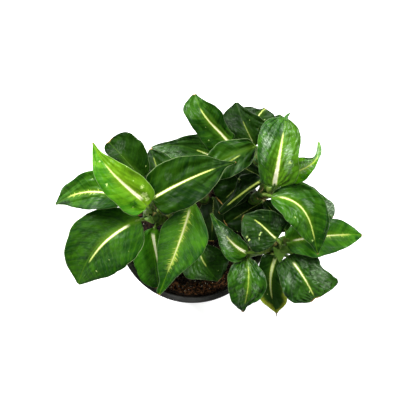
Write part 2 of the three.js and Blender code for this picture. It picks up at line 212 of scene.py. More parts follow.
# %% Paths and tubes
def bezier(controls, t):
    """Points of a Bezier curve: each control point weighted by its Bernstein polynomial at t."""
    controls = np.asarray(controls, float)
    weights = {3: [(1 - t)**2, 2 * t * (1 - t), t**2],
               4: [(1 - t)**3, 3 * t * (1 - t)**2, 3 * t**2 * (1 - t), t**3]}[len(controls)]
    return np.stack(weights, axis=-1) @ controls


def tube(centres, across, half_widths, half_heights, sides):
    """Points and faces of a closed tube: each ring is centre + side * a * cos(angle) + up * b *
    sin(angle), where a and b are the ring's half width and half height."""
    forward = unit(np.gradient(centres, axis=0))
    side = unit(across - np.sum(across * forward, axis=1, keepdims=True) * forward)
    up = np.cross(forward, side)
    a, b = (np.broadcast_to(half, len(centres))[:, None] for half in (half_widths, half_heights))
    angle = np.linspace(0, 2 * np.pi, sides, endpoint=False)
    rings = (centres[:, None] + side[:, None] * (a * np.cos(angle))[..., None]
             + up[:, None] * (b * np.sin(angle))[..., None])
    return rings.reshape(-1, 3), tube_faces(len(centres), sides)


def distances(points):
    """Millimetres from a path's first point to each of its points, along the path."""
    return np.concatenate([[0], np.cumsum(np.linalg.norm(np.diff(points, axis=0), axis=1))])


def cane_path(cane):
    """Three control points from the foot in the soil to the crown."""
    foot = np.array([*cane["foot"], SOIL["top"] - SOIL["hole_depth"]], float)
    crown = np.array(cane["crown"], float)
    middle = foot + (crown - foot) * cane["share"]
    middle[2] = (foot[2] + crown[2]) / 2
    return np.array([foot, middle, crown])


def cane_line(controls):
    """Fine points of a cane's path, on which places along it are looked up."""
    return bezier(controls, np.linspace(0, 1, 400))


def at_height(controls, height):
    """Point and direction of a cane's path at a height."""
    line = cane_line(controls)
    k = int(np.clip(np.searchsorted(line[:, 2], height), 1, len(line) - 1))
    return line[k], unit(line[k] - line[k - 1])


for cane_name, cane in CANES.items():
    print(cane_name, "cane:", round(distances(cane_line(cane_path(cane)))[-1]), "mm long")

# %% [markdown]
# ## The blade
# A real blade is a thin sheet hung on its midrib. Here it is a function of two numbers: `u` runs
# from base to tip and `v` from the right edge to the left. The midrib is the straight line from
# base to tip, bent by a parabola. Each half is an arc that starts at the fold angle, the edge
# waves, and between its side veins the sheet bulges a little, so the veins look sunken. The upper
# and the lower face are the same sheet pushed apart, with a rounded keel under the midrib. A flat
# sheet with a bump map would be quicker, but from the side it shows no fold and no wave.

# %% Outline and midrib
def midrib(leaf, u):
    """base + u * chord, bent by 4u(1 - u) times arch upwards and bow to the left."""
    base, chord = np.array(leaf["base"], float), np.subtract(leaf["tip"], leaf["base"])
    left = unit(np.cross([0, 0, 1], chord))
    up = np.cross(chord, left) / np.linalg.norm(chord)
    bend = 4 * u * (1 - u) * (1 + leaf["early"] * (1 - 2 * u))
    return (base + u[:, None] * chord
            + bend[:, None] * (leaf["arch"] * up + leaf["bow"] * left)), left


def half_width(stations, u):
    """A smooth curve through the stations and 0 at both ends. The stations lie at equal steps of
    the angle whose cosine is 1 - 2u, closest where the outline turns most; between two of them
    the curve is the cubic that keeps the slope of their neighbours."""
    widths = np.array([0, *stations, 0], float)
    slopes = np.gradient(widths)
    place = np.arccos(1 - 2 * u) / np.pi * (len(widths) - 1)
    k = np.minimum(place.astype(int), len(widths) - 2)
    t = place - k
    value = (widths[k] * (1 + 2 * t) * (1 - t)**2 + slopes[k] * t * (1 - t)**2
             + widths[k + 1] * t**2 * (3 - 2 * t) + slopes[k + 1] * t**2 * (t - 1))
    return np.maximum(value, 0) + 0.6


def blade_directions(leaf, u):
    """Forward, left and up at places on the midrib."""
    ahead, left = midrib(leaf, u + 0.001)
    forward = unit(ahead - midrib(leaf, u - 0.001)[0])
    left = unit(left - np.sum(left * forward, axis=1, keepdims=True) * forward)
    return forward, left, np.cross(forward, left)


def chord_length(leaf):
    """Millimetres from base to tip, straight."""
    return float(np.linalg.norm(np.subtract(leaf["tip"], leaf["base"])))


lengths = [chord_length(row) for rows in LEAVES.values() for row in rows]
print("blades from", round(min(lengths)), "to", round(max(lengths)), "mm long")

# %% [markdown]
# The two faces of a blade are worked out together, because the finish needs the same numbers as
# the shape: how far along, across and in from the edge a point lies, and which side vein it
# belongs to. A side vein leaves the midrib at a slant and curves towards the tip, so the point
# where it left is the point's own place, less a slant and a curve.

# %% Blade surface
ROWS, COLUMNS = 104, 44
VEIN_SPACING, VEIN_SLANT, VEIN_CURVE = 6.5, 0.45, 0.012
EDGE_WAVE, EDGE_WAVES = 0.8, 3
HALF_THICK, EDGE_THINNER = 0.24, 0.1
GROOVE_DEPTH, GROOVE_HALF = 0.12, 1.3
KEEL_AT_TIP, KEEL_AT_BASE = 0.5, 1.6


def vein_lane(along, reach):
    """Millimetres along the midrib at which the side vein through a point leaves it."""
    return along - VEIN_SLANT * reach - VEIN_CURVE * reach * reach


def blade_grids(leaf, seed):
    """The upper and lower grid of one blade, and for each point: millimetres along, across and in
    from the edge."""
    even = np.linspace(0, 1, ROWS)
    u = np.clip(0.5 * even + 0.25 * (1 - np.cos(np.pi * even)), 0.002, 0.998)
    s = np.linspace(-1, 1, COLUMNS + 1)
    v = s * (0.6 + 0.4 * np.abs(s))
    U, V = np.meshgrid(u, v, indexing="ij")
    side, q = np.sign(V), np.abs(V)
    centre, _ = midrib(leaf, u)
    _, left, up = blade_directions(leaf, u)
    half = np.where(side > 0, half_width(leaf["left"], U), half_width(leaf["right"], U))
    half *= 1 + 0.01 * np.sin(29 * U + 1.3 * side) + 0.004 * np.sin(61 * U + 2.1 * side)
    fold, curl = np.radians(leaf["fold"]), np.radians(leaf["curl"]) or 0.001
    outwards = half * (np.sin(fold + curl * q) - np.sin(fold)) / curl
    lift = half * (np.cos(fold) - np.cos(fold + curl * q)) / curl
    lift += (EDGE_WAVE * q**2 * np.sqrt(np.sin(np.pi * U))
             * np.sin(2 * np.pi * EDGE_WAVES * U + 1.1 * side))
    along, across, margin = U * chord_length(leaf), V * half, half * (1 - q)
    lane = vein_lane(along, np.abs(across)) / VEIN_SPACING + 0.5 * (side > 0)
    window = np.clip(margin / 5, 0, 1) * np.clip(np.abs(across) / 3, 0, 1)
    lift += leaf["veined"] * (0.5 - 0.5 * np.cos(2 * np.pi * lane)) * window
    rng = np.random.default_rng(seed)
    for low, high, depth in ((0.5, 2.2, 0.35), (3.0, 6.0, leaf["blister"])):
        signed = rng.uniform(low, high, (5, 2)) * rng.choice([-1, 1], (5, 2))
        for waves_along, waves_across in signed:
            turn = 2 * np.pi * (waves_along * U + waves_across * V + rng.random())
            lift += depth * np.sin(turn) * np.clip(np.abs(across) / 5, 0, 1)
    sheet = (centre[:, None] + left[:, None] * (outwards * side)[..., None]
             + up[:, None] * lift[..., None])
    normal = unit(np.cross(np.gradient(sheet, axis=0), np.gradient(sheet, axis=1)))
    half_thick = HALF_THICK - EDGE_THINNER * q**4
    groove = GROOVE_DEPTH * np.exp(-(across / GROOVE_HALF)**2) * (1 - U)
    keel_half = KEEL_AT_TIP + (KEEL_AT_BASE - KEEL_AT_TIP) * (1 - U)
    keel = keel_half * np.sqrt(np.clip(1 - (across / keel_half)**2, 0, 1))
    upper = sheet + normal * (half_thick - groove)[..., None]
    lower = sheet - normal * (half_thick + keel)[..., None]
    return upper, lower, np.stack([along, across, margin], axis=-1)


def blade_mesh(leaf, seed):
    """Points and faces of a closed blade, which faces look down, and the millimetres that its
    points carry: the upper grid, the lower grid turned over, and quads round the edge."""
    upper, lower, place = blade_grids(leaf, seed)
    rows, columns = upper.shape[:2]
    count = rows * columns
    top = grid_faces(rows, columns)[:, ::-1]
    index = np.arange(count).reshape(rows, columns)
    loop = np.concatenate([index[0, :-1], index[:-1, -1], index[-1, :0:-1], index[:0:-1, 0]])
    after = np.roll(loop, -1)
    edge = np.stack([loop, after, after + count, loop + count], axis=1)
    faces = np.concatenate([top, top[:, ::-1] + count, edge])
    under = np.repeat([0, 1, 0], [len(top), len(top), len(edge)])
    points = np.concatenate([upper.reshape(-1, 3), lower.reshape(-1, 3)])
    return (points, faces.tolist()), under, np.concatenate([place.reshape(-1, 3)] * 2)


print("faces of one blade:", 2 * (ROWS - 1) * COLUMNS + 2 * (ROWS - 1 + COLUMNS))


# %% [markdown]
# ## The stalk
# A dieffenbachia's stalk clasps its cane: it starts as a broad sheath and narrows to a round
# stalk that runs on as the blade's keel. The path is a Bezier curve with four control points that
# leaves the cane at a slant and arrives along the midrib. The sheath is the same tube with wide
# rings, which is simpler than a separate piece and leaves no seam. The part of the path inside
# the cane is left out.

# %% Stalk surface
def stalk_mesh(leaf, controls):
    """Points and faces of a closed tube from just inside the cane to the blade's first tenth, and
    each point's share of the way."""
    joint, axis = at_height(controls, leaf["start"])
    end = midrib(leaf, np.array([0.05]))[0][0]
    (arrive,), _, (up,) = blade_directions(leaf, np.array([0.0]))
    reach = np.linalg.norm(end - joint)
    depart = unit(0.5 * axis + unit(end - joint))
    path = bezier([joint, joint + 0.35 * reach * depart, end - 0.35 * reach * arrive, end],
                  np.linspace(0, 1, 60))
    gap = np.linalg.norm(path[:, None] - cane_line(controls)[None], axis=2).min(axis=1)
    path = path[np.argmax(gap > CANE_RADIUS - 1.5):]
    t = np.linspace(0, 1, len(path))
    path = path - up * (1.5 * np.clip((t - 0.6) / 0.4, 0, 1)**2)[:, None]
    sheath = np.clip(1 - t / 0.45, 0, 1)**1.5
    wing = leaf["wing"] * np.sin(np.pi * np.clip(t / 0.9, 0, 1)**0.5)
    taper = STALK_RADIUS * (1 - 0.12 * t)
    layer = tube(path, np.cross(axis, unit(end - joint)), taper * (1 + 0.9 * sheath) + wing,
                 taper * (0.92 + 0.1 * sheath) / (1 + 0.4 * wing), STALK_SIDES)
    return layer, np.repeat(t, STALK_SIDES)


# %% [markdown]
# ## Shader sums as Python sums
# A finish is a web of small nodes, which is hard to read back. The class below wraps one socket,
# so that `a * b + 1` on values adds the Math nodes itself. Colours and vectors go through nodes of
# their own kind, because a Math node would turn a colour grey. Every other node comes from `node`.

# %% Socket wrapper
class Value:
    """One output socket; sums on it add Math nodes to its material."""

    def __init__(self, socket):
        self.socket = socket

    def maths(self, operation, *terms):
        """One Math node, its sockets filled with the terms in order."""
        return node(self.socket.id_data, "ShaderNodeMath", dict(operation=operation),
                    enumerate(terms))

    def __add__(self, other):
        return self.maths("ADD", self, other)

    def __sub__(self, other):
        return self.maths("SUBTRACT", self, other)

    def __rsub__(self, other):
        return self.maths("SUBTRACT", other, self)

    def __mul__(self, other):
        return self.maths("MULTIPLY", self, other)

    def __truediv__(self, other):
        return self.maths("DIVIDE", self, other)

    def __pow__(self, other):
        return self.maths("POWER", self, other)

    __radd__ = __add__
    __rmul__ = __mul__

    def size(self):
        return self.maths("ABSOLUTE", self)

    def sign(self):
        return self.maths("SIGN", self)

    def wave(self):
        return self.maths("COSINE", self)

    def larger(self, other):
        return self.maths("MAXIMUM", self, other)

    def step(self, low, high):
        """0 below low, 1 above high and a smooth ramp between; low may be the larger."""
        return node(self.socket.id_data, "ShaderNodeMapRange",
                    dict(interpolation_type="SMOOTHSTEP"), {0: self, 1: low, 2: high})


def node(tree, kind, settings=(), inputs=(), output=0):
    """Adds a node, makes its settings, then fills its sockets with values or links."""
    made = tree.nodes.new(kind)
    for key, value in dict(settings).items():
        setattr(made, key, value)
    for key, value in dict(inputs).items():
        if isinstance(value, Value):
            tree.links.new(value.socket, made.inputs[key])
        else:
            made.inputs[key].default_value = value
    return Value(made.outputs[output])


print("a Value knows", sum(callable(method) for method in vars(Value).values()), "methods")

# %% Nodes used again and again
def here(tree):
    """A point's own place, in metres: its Object coordinates."""
    return node(tree, "ShaderNodeTexCoord", output=3)


def carried(tree, name, output=2):
    """What the mesh's points carry under a name: output 1 is a vector, 2 a number."""
    return node(tree, "ShaderNodeAttribute", dict(attribute_name=name), output=output)


def blend(factor, first, second):
    """A colour between first and second."""
    return node(factor.socket.id_data, "ShaderNodeMix", dict(data_type="RGBA"),
                {0: factor, 6: first, 7: second}, output=2)


def noise(tree, vector, scale, detail=2.0, rough=0.5, distortion=0.0):
    """Cloudy values from 0 to 1 around a half."""
    return node(tree, "ShaderNodeTexNoise", {},
                {"Vector": vector, "Scale": scale, "Detail": detail, "Roughness": rough,
                 "Distortion": distortion})


def bumps(tree, strength, distance, height):
    """The surface's direction, tilted as if it had small heights; distance is in metres."""
    return node(tree, "ShaderNodeBump", {},
                {"Strength": strength, "Distance": distance, "Height": height})


def vector(tree, x, y, z):
    """Three numbers as one vector."""
    return node(tree, "ShaderNodeCombineXYZ", {}, {0: x, 1: y, 2: z})


def parts(tree, source):
    """The three numbers of a vector."""
    split = node(tree, "ShaderNodeSeparateXYZ", {}, {0: source}).socket.node
    return [Value(split.outputs[i]) for i in range(3)]


def paint(red, green, blue):
    """A colour as seen on a screen, 0 to 255, turned into the linear light that shaders use."""
    share = np.array([red, green, blue]) / 255
    linear = np.where(share <= 0.04045, share / 12.92, ((share + 0.055) / 1.055)**2.4)
    return (*linear.tolist(), 1.0)


def tone(colour, factor):
    """The same colour, brighter or darker by a factor."""
    return (*(np.array(colour[:3]) * factor).tolist(), 1.0)


def new_finish(name, constants=()):
    """A material with one Principled shader; constants are set on the shader's own sockets."""
    material = bpy.data.materials.new(name)
    material.use_nodes = True
    shader = material.node_tree.nodes["Principled BSDF"]
    for key, value in dict(constants).items():
        shader.inputs[key].default_value = value
    return material, material.node_tree, shader


def feed(tree, shader, **values):
    """Links values to the shader's sockets; an underscore stands for a space."""
    for key, value in values.items():
        tree.links.new(value.socket, shader.inputs[key.replace("_", " ")])


print("mid grey as light:", round(paint(128, 128, 128)[0], 3))

# %% [markdown]
# ## What sets the leaves apart
# `rib` is half the width of the cream midrib, and it runs from share `rib_start` to share
# `rib_end` of the blade. `feather` is how far cream spurs run out from it, `halo` how far its
# yellow-green shade does. `fleck` is how many pale dots there are, and each of `spots` is one
# larger blotch: millimetres along, across and its radius. `tone` is the brightness, `shine` the
# gloss, `gold` how yellow the lower margin has turned and `brown` how much of the tip has dried.
# `veined` and `blister` are the depths of the side veins and of small bumps. Each of `painted_sheen` is
# a patch of painted sheen, a pale highlight, and each of `dark` a deep green patch of painted shade
# for creases and cast shadows: millimetres along, across, its two half sizes and its strength.
# `spike` is the step from the tip to the end of a drawn-out point, `spike_half` that point's half
# width where it starts, and `wing` widens the stalk's sheath.
# `tint` turns the midrib yellow-green, and `rib_drift` moves its colour left at the base and in
# the middle. `edge` is how pale the edge line is, `thread` how plain the fine line along the
# midrib, and `lit_side` paints light on the left (above 0) or right half, lighter and yellower.
# `painted_rib_light` is painted light: emission that keeps the cream midrib bright where other leaves
# shade it. A leaf deep in the shade of the others needs only SHADE_PAINTED_LOOK, which paints that
# shade in as a low tone with a faint midrib and edge.

# %% Leaf looks
LOOK = dict(
    rib=1.4, rib_start=0.02, rib_end=0.8, feather=2.5, halo=5.0, fleck=0.0, spots=(), tone=1.0,
    shine=0.3, gold=0.0, brown=1.0, veined=0.1, blister=0.05, painted_sheen=(), dark=(), spike=(),
    spike_half=0.8, wing=0.0, tint=0.0, rib_drift=(0.0, 0.0), edge=0.15, thread=0.3, lit_side=0.0,
    painted_rib_light=0.0)
# Painted shade: a low tone with a faint midrib, edge and gloss, for leaves deep among the others.
SHADE_PAINTED_LOOK = dict(rib=0.1, tone=0.3, edge=0.1, shine=0.1)
LOOKS = {
    "left_leaf_1": dict(
        rib=2.0, rib_start=0.1, rib_end=0.74, feather=3.5, halo=7, fleck=0.2, rib_drift=(-1.6, 0.6),
        tone=0.8, lit_side=-0.45, edge=0.4, spots=((17, -10, 1.2), (10, -6, 2.4), (27, -9, 0.2),
            (41, 12, 0.4), (60, 3, 0.4), (5, -5, 1.6)),
        dark=((11, 7, 6, 5, 1.4), (76, 0, 12, 14, 0.7)), blister=0.06),
    "left_leaf_2": dict(rib=0.95, rib_start=0.1, feather=6.5, edge=0.3, blister=0.08),
    "left_leaf_3": dict(
        rib=1.35, rib_start=0.11, rib_end=0.72, tone=0.88, blister=0.1, veined=0.08, feather=1.5,
        halo=3, rib_drift=(0.5, 2.9), edge=0.8, painted_sheen=((42, 2, 40, 36, 0.045),),
        dark=((68, 2, 6, 3, 0.6), (54, 7, 3, 5, 0.5), (61, -5, 4, 3, 0.4)), shine=0.12),
    "left_leaf_4": dict(
        rib=0.0, tone=0.6, thread=0.5, painted_sheen=((36, 0, 8, 12, 0.08),), shine=0.0, blister=0.12),
    "left_leaf_5": dict(
        rib=1.1, rib_end=0.76, feather=1.2, tone=0.43, halo=3, tint=0.15, edge=0.3,
        painted_sheen=((22, 11, 5, 5, 0.07), (42, 8, 5, 4, 0.05)),
        dark=((11, -13, 8, 5, 0.4), (30, 8, 5, 4, 0.3)), shine=0.1, veined=0.08, blister=0.07),
    # Its high tone is painted light: the leaf lies in the shade of the leaves above it.
    "left_leaf_6": dict(
        rib=2.0, rib_start=0.08, rib_end=0.6, tone=4.0, rib_drift=(-2.5, 3.9),
        painted_sheen=((45, 0, 14, 14, 0.1),), shine=0.2, blister=0.07, painted_rib_light=0.3),
    # The low tones of this row and the next are painted shade, for leaves deep among the others.
    "left_leaf_7": dict(rib=0.2, tone=0.6, edge=0.3, painted_sheen=((12, 0, 10, 8, 0.08),)),
    "left_leaf_8": dict(rib=0.1, tone=0.7),
    "middle_leaf_1": dict(
        rib=1.2, rib_start=0.08, rib_end=0.77, feather=9.5, halo=7, tone=1.45, tint=0.5, edge=0.25,
        blister=0.06, painted_sheen=((45, 0, 50, 30, 0.06),)),
    "middle_leaf_2": dict(
        rib=0.5, rib_start=0.1, rib_end=0.55, tone=1.3, blister=0.2,
        painted_sheen=((14, 9, 8, 7, 0.08), (26, -12, 8, 8, 0.1))),
    # Painted shade: a low tone for a leaf deep among the others.
    "middle_leaf_3": dict(rib=0.1, tone=0.3, edge=0.1),
    "back_leaf_1": dict(rib=1.2, tone=0.85, tint=0.15, blister=0.09),
    "back_leaf_2": dict(
        rib=0.13, rib_start=0.08, rib_end=0.58, shine=0.2, tone=0.45, brown=0,
        painted_sheen=((28, 12, 10, 7, 0.06),), blister=0.16),
    "back_leaf_3": dict(
        rib=0.4, rib_start=0.4, rib_end=1.4, painted_sheen=((16, 9, 10, 8, 0.08),), tone=0.5),
    "back_leaf_4": dict(
        rib=0.8, rib_end=0.3, tone=0.9, shine=0.8, painted_sheen=((44, 8, 16, 9, 0.1),), blister=0.16),
    "back_leaf_5": dict(rib=0.2, rib_start=0.3, tone=0.55, tint=1.0, rib_drift=(0, 4), edge=0.3),
    "back_leaf_6": SHADE_PAINTED_LOOK,
    "right_leaf_1": dict(
        rib=2.2, rib_end=0.82, halo=11, tone=1.2, shine=0.6, veined=0.2, blister=0.24, brown=0,
        spots=((26, -10.5, 1.2),), rib_drift=(0.2, 0), spike=(5, 5, 1), spike_half=2.6, feather=4,
        painted_sheen=((42, 14, 8, 7, 0.8), (30, 14, 12, 5, 0.3), (34, -7, 9, 6, 0.6),
            (22, -10, 8, 5, 0.35)), lit_side=-0.25),
    "right_leaf_2": dict(
        rib=0.58, rib_start=0.06, rib_end=0.83, fleck=0.2, shine=0.5, tint=0.4,
        spots=((29, -11, 0.9), (57, -3, 0.8)), painted_sheen=((28, 7, 6, 6, 0.2), (42, -8, 8, 4, 0.06)),
        blister=0.18),
    "right_leaf_3": dict(
        rib=0.4, tone=0.75, tint=0.8, painted_sheen=((18, 2, 12, 8, 0.45), (42, 0, 22, 10, 0.55)),
        shine=0.0),
    "right_leaf_4": dict(rib=0.3, tone=1.1, painted_sheen=((40, 6, 18, 10, 0.7),)),
    "right_leaf_5": dict(rib=0.5, tint=0.9, tone=0.5, spots=((18, -14, 1.2),)),
    "right_leaf_6": SHADE_PAINTED_LOOK,
    "right_leaf_7": SHADE_PAINTED_LOOK,
    "front_leaf_1": dict(
        rib=0.52, rib_end=0.75, fleck=0.3, tone=0.65, feather=1.5, spots=((16, 9, 0.6),
            (16, 7, 0.5), (14, 12, 0.4), (25, 19, 1.0), (21, 20, 0.6)),
        painted_sheen=((12, -12, 7, 5, 0.1),), dark=((26, -6, 7, 7, 0.3),), wing=2.5, blister=0.16),
    "front_leaf_2": dict(
        rib=1.5, rib_end=0.48, halo=6, shine=0.8, tone=1.3, blister=0.2, wing=1.5,
        painted_sheen=((28, 2, 12, 6, 0.9), (16, 6, 9, 4, 0.7)), painted_rib_light=0.2),
    "front_leaf_3": dict(
        rib=0.25, rib_start=0.12, rib_end=0.85, blister=0.32, tone=0.95, tint=1.0, wing=1.5,
        painted_sheen=((16, -8, 7, 5, 0.35), (25, 7, 7, 5, 0.3), (32, -6, 7, 5, 0.25)), shine=0.8,
        thread=0.12),
    "front_leaf_4": dict(
        rib=1.6, rib_end=0.74, gold=1.0, brown=1.5, tint=0.6, wing=5.0, spike=(0, -4, -1),
        painted_rib_light=0.08),
    "front_leaf_5": dict(
        rib=1.05, rib_start=0.14, rib_end=0.94, tone=1.4, shine=0.9, blister=0.42, feather=1.5,
        halo=3, wing=5.0, painted_sheen=((30, 13, 14, 11, 0.4), (14, 8, 6, 5, 0.3), (20, -14, 10, 6, 0.2),
            (42, 16, 6, 8, 0.3)), dark=((18, 12, 6, 5, 0.5),)),
    "front_leaf_6": dict(
        rib=1.0, rib_start=0.08, rib_end=0.85, feather=6, tone=1.5, tint=0.1, spike=(6, -2, -1),
        spike_half=0.6, wing=4.0, painted_rib_light=0.1),
    "front_leaf_7": SHADE_PAINTED_LOOK,
}
print("leaves with a look of their own:", len(LOOKS))

# %% [markdown]
# ## The leaf finish
# The upper face is green in soft clouds, lighter towards the midrib. All of its pattern follows
# the blade, so the shader reads the millimetres along, across and in from the edge that each
# point carries, and noise that is drawn out along the side veins gives the streaks. A picture
# would fix one leaf's pattern; sums give each leaf its own.

# %% What the patterns are made of
def read_blade(tree, leaf, seed):
    """Millimetres along, across and in from the edge, the share of the length, the side veins, and
    cloudy values at several sizes."""
    place = here(tree)
    along, across, margin = parts(tree, carried(tree, "blade", 1))
    side, reach = across.sign(), across.size()
    lane = vein_lane(along, reach)
    veins = ((lane / VEIN_SPACING + 0.25 * side + 0.25) * (2 * np.pi)).wave()
    sparkle = noise(tree, vector(tree, lane * 0.7, across * 0.4, seed + 7), 1.0, 2.0)
    return SimpleNamespace(
        place=place, along=along, across=across, margin=margin, side=side, reach=reach, lane=lane,
        run=along / chord_length(leaf),
        vein_line=veins.step(0.8, 1.0) * reach.step(1.0, 6.0),
        broad=noise(tree, place, 26.0, 1.0),
        cloud=noise(tree, place, 95.0, 4.0, 0.6, 0.5),
        grain=noise(tree, place, 850.0, 2.0),
        drift=noise(tree, vector(tree, lane * 0.16, across * 0.05, seed), 1.0, 3.0, 0.6, 0.4),
        crinkle=noise(tree, vector(tree, lane * 0.5, across * 0.22, seed), 1.0, 3.0, 0.6, 0.6),
        sparkle=sparkle.step(0.48, 0.6))


# %% [markdown]
# The cream midrib starts broad and runs out before the tip, with a ragged yellow-green border and
# spurs along the side veins. Each is a mask: 1 where the colour shows, 0 where it doesn't. The
# ragged edge comes from adding a noise to the half width before the two are compared.

# %% Midrib masks
def midrib_masks(tree, leaf, at, seed):
    """How far the midrib has still to run, from 1 to 0, and how much of a point is its cream, its
    border and its spurs."""
    at_base, in_middle = leaf["rib_drift"]
    off = (at.across - (1 - at.run) * (at.run * (4 * in_middle) + at_base)).size()
    taper = (1 - at.run / leaf["rib_end"]).larger(0.0)
    begun = at.run.step(leaf["rib_start"] - 0.02, leaf["rib_start"] + 0.06)
    plain = min(2 * leaf["rib"], 1)
    ragged = noise(tree, vector(tree, at.along * 0.7, at.side * 4.1, seed), 1.0, 3.0, 0.7)
    rib_half = taper**0.75 * leaf["rib"] * (0.65 + 0.7 * ragged)
    cream = (rib_half + (at.grain - 0.5) * 0.5 - off).step(-0.1, 0.3) * taper.step(0.0, 0.03)
    border = (rib_half + 0.9 * ragged + 0.1 - off).step(-0.4, 0.4) * taper.step(0.0, 0.1) * begun
    spurs = noise(tree, vector(tree, at.lane * 0.7, at.side * 3.1, seed + 0.5), 1.0, 2.0, 0.7)
    threshold = 0.49 - 0.008 * leaf["feather"]
    spurs = (spurs - off * (0.42 / leaf["feather"])).step(threshold, threshold + 0.07)
    return taper, cream * begun, border * plain, spurs * taper.step(0.0, 0.15) * begun * plain


# %% [markdown]
# The colours are laid on as a painter would: the greens first, then painted shade and painted sheen
# in patches, then the midrib, its blotches, the hair-thin pale edge and the tip that has dried brown.

# %% Leaf colours
GREENS = {
    "young": dict(deep=paint(54, 124, 8), light=paint(98, 164, 14), halo=paint(142, 182, 30)),
    "green": dict(deep=paint(16, 60, 1), light=paint(52, 102, 8), halo=paint(98, 142, 20)),
    "dark": dict(deep=paint(11, 43, 1), light=paint(38, 78, 10), halo=paint(72, 114, 20)),
}
CREAM = paint(252, 250, 214)
RIB_EDGE = paint(196, 214, 92)
FLECK = paint(200, 226, 130)
# Pale grey-green of the painted sheen: highlights laid into the colour.
SHEEN_PAINT = paint(178, 200, 168)
PALE_EDGE = paint(170, 196, 130)
GOLD = paint(170, 184, 48)
BROWN = paint(150, 118, 66)


def green_colour(tree, leaf, at, greens, taper):
    """The greens from deep to light by clouds, then side veins, painted light on one half, halo,
    pale dots and old gold.
    """
    share = at.broad * 0.3 + at.cloud * 0.3 + at.drift * 0.4
    share = share + (6.0 - at.margin).larger(0.0) * -0.012
    colour = blend(share.step(0.38, 0.6), greens["deep"], greens["light"])
    colour = blend(at.vein_line * 0.1, colour, greens["halo"])
    # Painted light: the half that the light falls on is made lighter and yellower.
    if leaf["lit_side"]:
        lit = (at.side * leaf["lit_side"]).larger(0.0) * (0.5 + at.cloud * 0.5)
        colour = blend(lit, colour, greens["halo"])
    halo = (at.reach + (at.cloud - 0.5) * 7.0).step(leaf["rib"] + leaf["halo"], 0.5)
    colour = blend(halo * taper.step(0.0, 0.4) * 0.4, colour, greens["halo"])
    dots = noise(tree, at.place, 260.0, 0.0)
    dots = dots.step(0.86 - 0.1 * leaf["fleck"], 0.9 - 0.08 * leaf["fleck"])
    colour = blend(dots * 0.7, colour, FLECK)
    if leaf["gold"]:
        aged = (at.margin + (at.cloud - 0.5) * 14.0).step(8.0, 1.0) * at.run.step(0.4, 0.75)
        colour = blend(aged * leaf["gold"], colour, GOLD)
    return colour


def patched(colour, at, patches, patch_colour):
    """Oval patches with torn edges: distance from the centre in half sizes, plus noise."""
    for centre_along, centre_across, long, wide, strength in patches:
        ahead, beside = (at.along - centre_along) / long, (at.across - centre_across) / wide
        far = (ahead * ahead + beside * beside)**0.5 + (at.cloud - 0.5) * 1.2
        far = far + (at.crinkle - 0.5) * 1.8 + (at.drift - 0.5) * 0.8
        mask = far.step(1.0, 0.3) * (0.3 + 0.7 * at.sparkle) * strength
        colour = blend(mask, colour, patch_colour)
    return colour


def spotted(colour, at, spots):
    """Small pale blotches: distance from the centre in millimetres, plus noise."""
    for spot_along, spot_across, radius in spots:
        ahead, beside = at.along - spot_along, at.across - spot_across
        gone = (ahead * ahead + beside * beside)**0.5
        gone = gone + (at.grain - 0.5) * 5.0 + (at.cloud - 0.5) * 3.0
        colour = blend(gone.step(radius + 0.6, radius - 0.5) * 0.8, colour, FLECK)
    return colour


print("greens:", list(GREENS))

# %% Leaf finish
def leaf_finish(name, leaf, seed):
    """The upper face of one leaf."""
    material, tree, shader = new_finish(name, {"Specular IOR Level": 0.03 + 0.2 * leaf["shine"],
                                               "Coat Roughness": 0.22})
    greens = {key: tone(colour, leaf["tone"]) for key, colour in GREENS[leaf["shade"]].items()}
    at = read_blade(tree, leaf, seed)
    taper, cream, border, spurs = midrib_masks(tree, leaf, at, seed)
    colour = green_colour(tree, leaf, at, greens, taper)
    # Painted shade: deep green patches for creases and the shadows that folds cast.
    colour = patched(colour, at, leaf["dark"], tone(greens["deep"], 0.5))
    # Painted sheen: pale patches stand in for highlights where the light catches the leaf.
    colour = patched(colour, at, leaf["painted_sheen"], SHEEN_PAINT)
    thread = (0.7 - at.reach).step(-0.2, 0.5)
    colour = blend(thread * leaf["thread"], colour, greens["halo"])
    colour = blend((spurs * 0.75).larger(border * 0.7), colour, RIB_EDGE)
    ribbon = blend((taper.step(0.8, 0.0) * 0.6).larger(leaf["tint"]), CREAM, RIB_EDGE)
    colour = spotted(blend(cream, colour, ribbon), at, leaf["spots"])
    edge = at.margin.step(0.6, 0.2) * (at.cloud * (2 * leaf["edge"]))
    colour = blend(edge, colour, PALE_EDGE)
    if leaf["brown"]:
        dried = chord_length(leaf) - at.along + (at.cloud - 0.5) * 5.0
        dried = dried.step(leaf["brown"], leaf["brown"] * 0.4)
        colour = blend(dried * 0.9, colour, BROWN)
    cells = node(tree, "ShaderNodeTexVoronoi", dict(feature="SMOOTH_F1"),
                 {"Vector": at.place, "Scale": 210.0, "Smoothness": 0.6})
    height = at.cloud * 0.8 + at.grain * 0.15 - at.vein_line * 0.4 + at.crinkle * leaf["shine"]
    feed(tree, shader, Base_Color=colour,
         Normal=bumps(tree, 0.4, 0.0005, height - cells * (12 * leaf["blister"])),
         Roughness=0.52 - 0.16 * leaf["shine"] + (at.cloud - 0.5) * 0.3,
         Coat_Weight=at.drift.step(0.42, 0.66) * (0.5 * leaf["shine"]))
    # Painted light: the cream midrib glows, so that it stays bright where other leaves shade it.
    if leaf["painted_rib_light"]:
        shader.inputs["Emission Strength"].default_value = leaf["painted_rib_light"]
        feed(tree, shader, Emission_Color=blend(cream, paint(0, 0, 0), CREAM))
    return material


# %% [markdown]
# ## Undersides, stalks and young sheaths
# From below, a blade is paler and duller and nearly even, and its keel is paler still. A stalk
# turns yellower towards its foot, and the young sheaths round a crown are the palest green of
# all. Leaves of one shade share an underside, because nothing on it tells one leaf from another.

